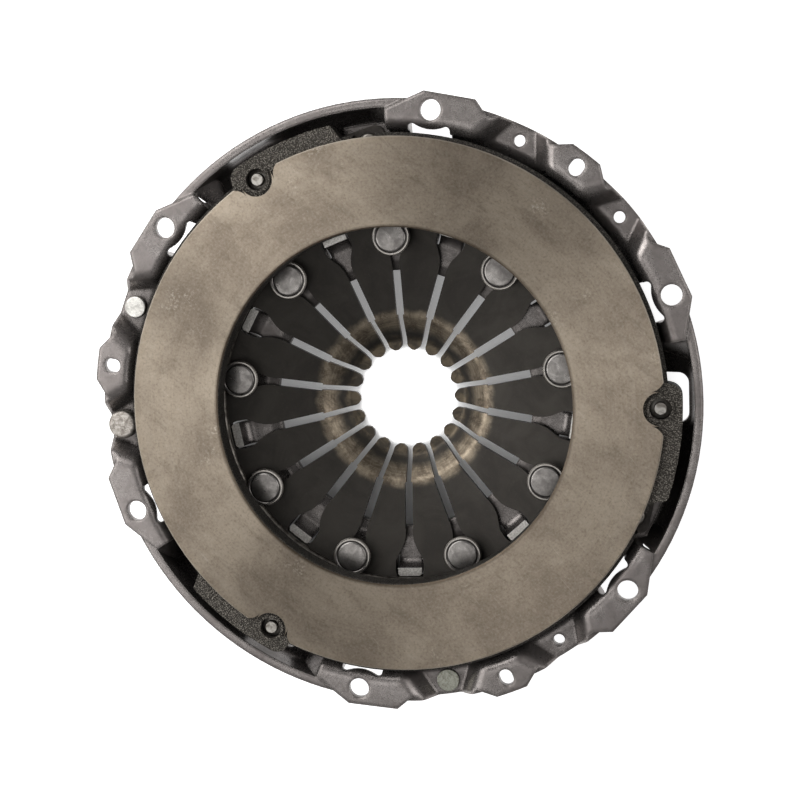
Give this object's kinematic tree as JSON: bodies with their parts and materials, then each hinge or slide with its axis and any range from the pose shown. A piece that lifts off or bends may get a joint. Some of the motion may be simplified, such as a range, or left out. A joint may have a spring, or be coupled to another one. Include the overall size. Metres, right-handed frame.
{
  "type": "clutch pressure plate assembly",
  "caption": "Round push-type clutch cover assembly: pressed steel cover, ground cast pressure plate, slotted diaphragm spring, fulcrum rings and rivets, drive straps and balance rivets.",
  "frame": {"origin": "on the axis of rotation, in the plane where the cover's flange meets the flywheel", "axes": "+Z along the axis of rotation towards the flywheel, +Y through the middle of a dowel slot"},
  "size_m": [0.273, 0.2697, 0.044],
  "materials": {
    "pressed_steel": "dark oiled steel",
    "cast_iron": "ground face, rough cast sides",
    "spring_steel": "dark oiled spring steel",
    "wire": "drawn wire, oiled",
    "rivet_steel": "dark glossy steel",
    "strap_steel": "blued spring steel",
    "zinc": "plated steel"
  },
  "bodies": {
    "cover_assembly": {"cover": "pressed_steel", "diaphragm_spring": "spring_steel", "front_fulcrum_ring": "wire", "rear_fulcrum_ring": "wire", "fulcrum_rivets": "rivet_steel", "cover_strap_rivets": "rivet_steel", "drive_strap_1_leaf_1": "strap_steel", "drive_strap_1_leaf_2": "strap_steel", "drive_strap_1_leaf_3": "strap_steel", "drive_strap_2_leaf_1": "strap_steel", "drive_strap_2_leaf_2": "strap_steel", "drive_strap_2_leaf_3": "strap_steel", "drive_strap_3_leaf_1": "strap_steel", "drive_strap_3_leaf_2": "strap_steel", "drive_strap_3_leaf_3": "strap_steel", "balance_rivet_flat": "zinc", "balance_rivet_large": "zinc", "balance_rivet_small": "zinc"},
    "pressure_plate": {"pressure_plate": "cast_iron", "plate_strap_rivets": "rivet_steel"}
  },
  "joints": [
    {"name": "plate_lift", "type": "slide", "parent": "cover_assembly", "child": "pressure_plate", "axis": [0, 0, -1], "range_m": [0, 0.0032], "stiffness_N_per_m": 200000, "deforming": ["diaphragm_spring", "drive_strap_1_leaf_1", "drive_strap_1_leaf_2", "drive_strap_1_leaf_3", "drive_strap_2_leaf_1", "drive_strap_2_leaf_2", "drive_strap_2_leaf_3", "drive_strap_3_leaf_1", "drive_strap_3_leaf_2", "drive_strap_3_leaf_3"]}
  ]
}
